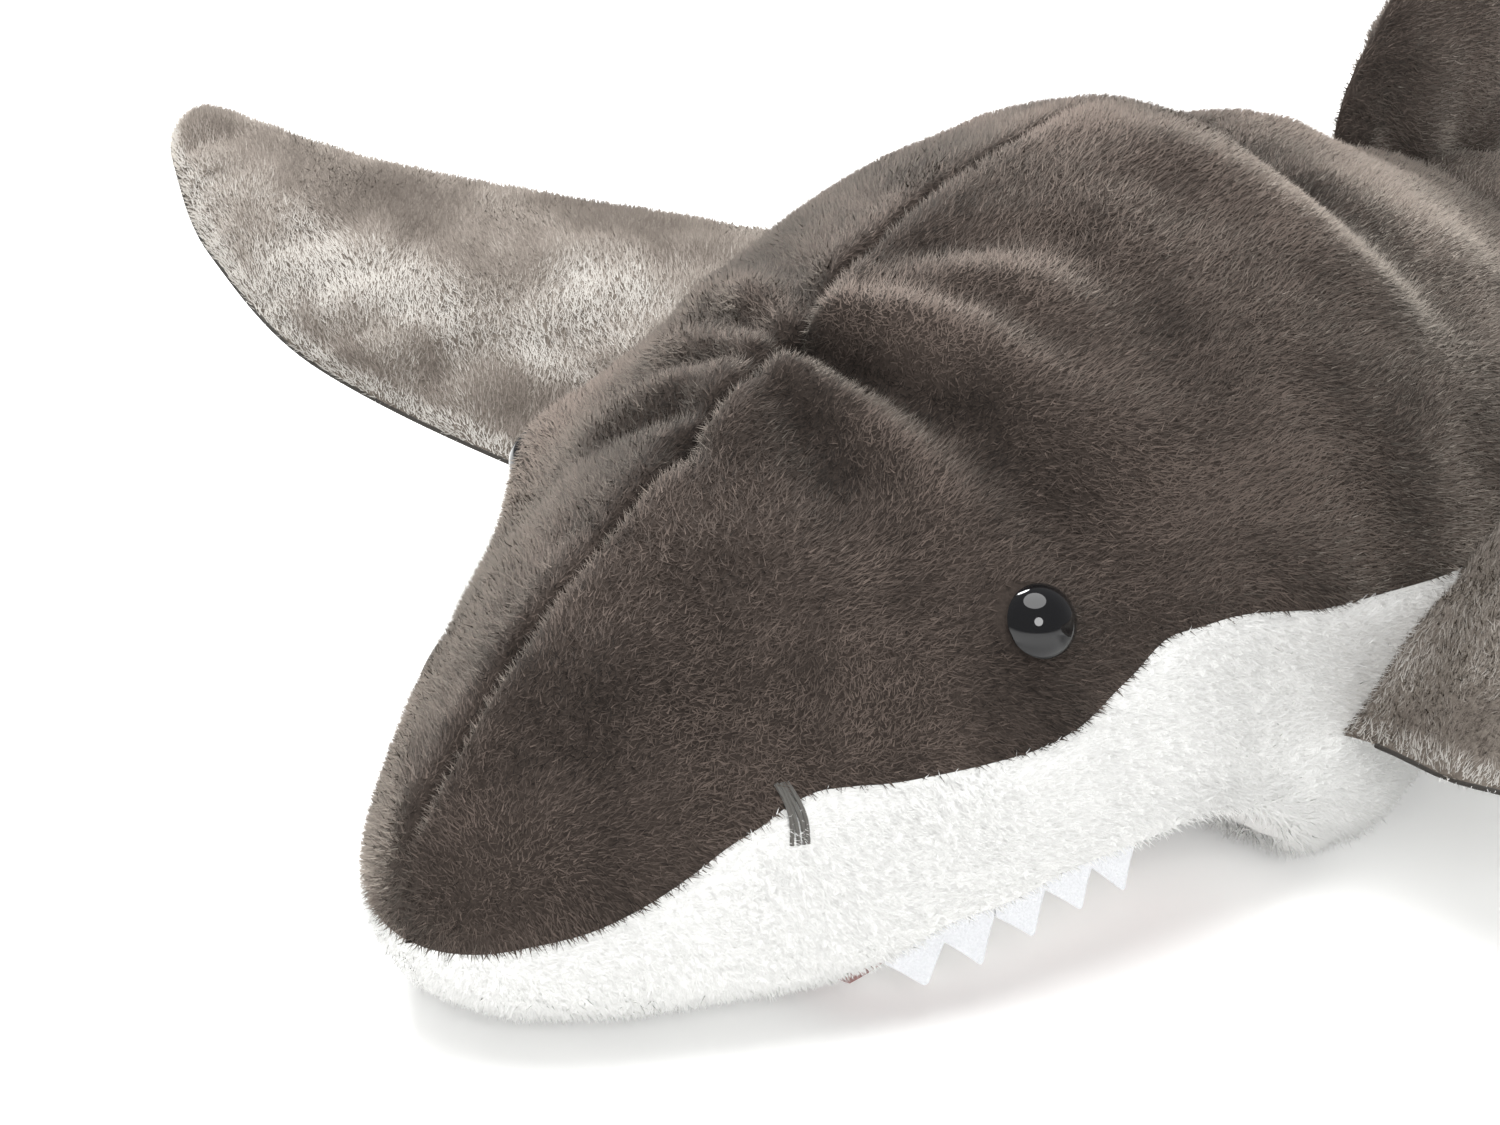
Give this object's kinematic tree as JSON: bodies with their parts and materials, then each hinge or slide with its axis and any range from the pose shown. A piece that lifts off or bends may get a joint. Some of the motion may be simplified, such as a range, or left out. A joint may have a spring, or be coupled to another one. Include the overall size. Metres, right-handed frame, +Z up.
{
  "type": "plush shark",
  "caption": "Stuffed fabric shark with broad side fins, a grey back, a white belly, felt teeth and dark button eyes.",
  "frame": {"origin": "under the middle of the shark, on the surface that its belly rests on", "axes": "+Z up, the nose points along -Y and the shark's left side is +X"},
  "size_m": [0.8204, 0.88, 0.2516],
  "materials": {
    "grey_fleece": "matte",
    "white_fleece": "matte",
    "mouth_fabric": "matte",
    "white_felt": "matte",
    "black_plastic": "gloss",
    "clear_nylon": "satin",
    "grey_thread": "satin",
    "polyester_filling": "matte"
  },
  "bodies": {
    "body": {"back_panel_left": "grey_fleece", "back_panel_right": "grey_fleece", "cheek_panel_left": "white_fleece", "cheek_panel_right": "white_fleece", "belly_panel": "white_fleece", "throat_panel": "white_fleece", "palate_lining": "mouth_fabric", "body_filling": "polyester_filling", "upper_teeth_front": "white_felt", "upper_teeth_left": "white_felt", "upper_teeth_right": "white_felt", "eye_left": "black_plastic", "eye_right": "black_plastic", "eye_washer_left": "clear_nylon", "eye_washer_right": "clear_nylon", "nostril_stitch_left": "grey_thread", "nostril_stitch_right": "grey_thread"},
    "lower_jaw": {"lower_jaw_cover": "white_fleece", "lower_jaw_lining": "mouth_fabric", "lower_jaw_filling": "polyester_filling"},
    "tail": {"tail_panel_left": "grey_fleece", "tail_panel_right": "grey_fleece", "tail_belly_panel": "white_fleece", "tail_filling": "polyester_filling"},
    "tail_fin": {"tail_fin_panel_left": "grey_fleece", "tail_fin_panel_right": "grey_fleece", "tail_fin_filling": "polyester_filling"},
    "dorsal_fin": {"dorsal_fin_panel_left": "grey_fleece", "dorsal_fin_panel_right": "grey_fleece", "dorsal_fin_filling": "polyester_filling"},
    "left_fin": {"left_fin_top": "grey_fleece", "left_fin_underside": "white_fleece", "left_fin_filling": "polyester_filling"},
    "right_fin": {"right_fin_top": "grey_fleece", "right_fin_underside": "white_fleece", "right_fin_filling": "polyester_filling"}
  },
  "joints": [
    {"name": "left_fin_flap", "type": "hinge", "parent": "body", "child": "left_fin", "pos_m": [0.133, -0.202, 0.049], "axis": [0.0567, -0.9646, -0.2576], "range_deg": [-15, 30], "stiffness_Nm_per_rad": 0.35},
    {"name": "right_fin_flap", "type": "hinge", "parent": "body", "child": "right_fin", "pos_m": [-0.133, -0.202, 0.049], "axis": [0.0567, 0.9646, 0.2576], "range_deg": [-15, 30], "stiffness_Nm_per_rad": 0.35},
    {"name": "dorsal_fin_lean", "type": "hinge", "parent": "body", "child": "dorsal_fin", "pos_m": [0, -0.006, 0.16], "axis": [0, 0.9724, -0.2334], "range_deg": [-25, 25], "stiffness_Nm_per_rad": 0.1},
    {"name": "tail_swing", "type": "hinge", "parent": "body", "child": "tail", "pos_m": [0, 0.2, 0.06], "axis": [0, 0, 1], "range_deg": [-20, 20], "stiffness_Nm_per_rad": 0.8},
    {"name": "tail_fin_swing", "type": "hinge", "parent": "tail", "child": "tail_fin", "pos_m": [0, 0.345, 0.067], "axis": [0, 0, 1], "range_deg": [-25, 25], "stiffness_Nm_per_rad": 0.05},
    {"name": "jaw_open", "type": "hinge", "parent": "body", "child": "lower_jaw", "pos_m": [0, -0.24, 0.024], "axis": [1, 0, 0], "range_deg": [0, 20], "stiffness_Nm_per_rad": 0.3, "springref_deg": -8.59}
  ]
}
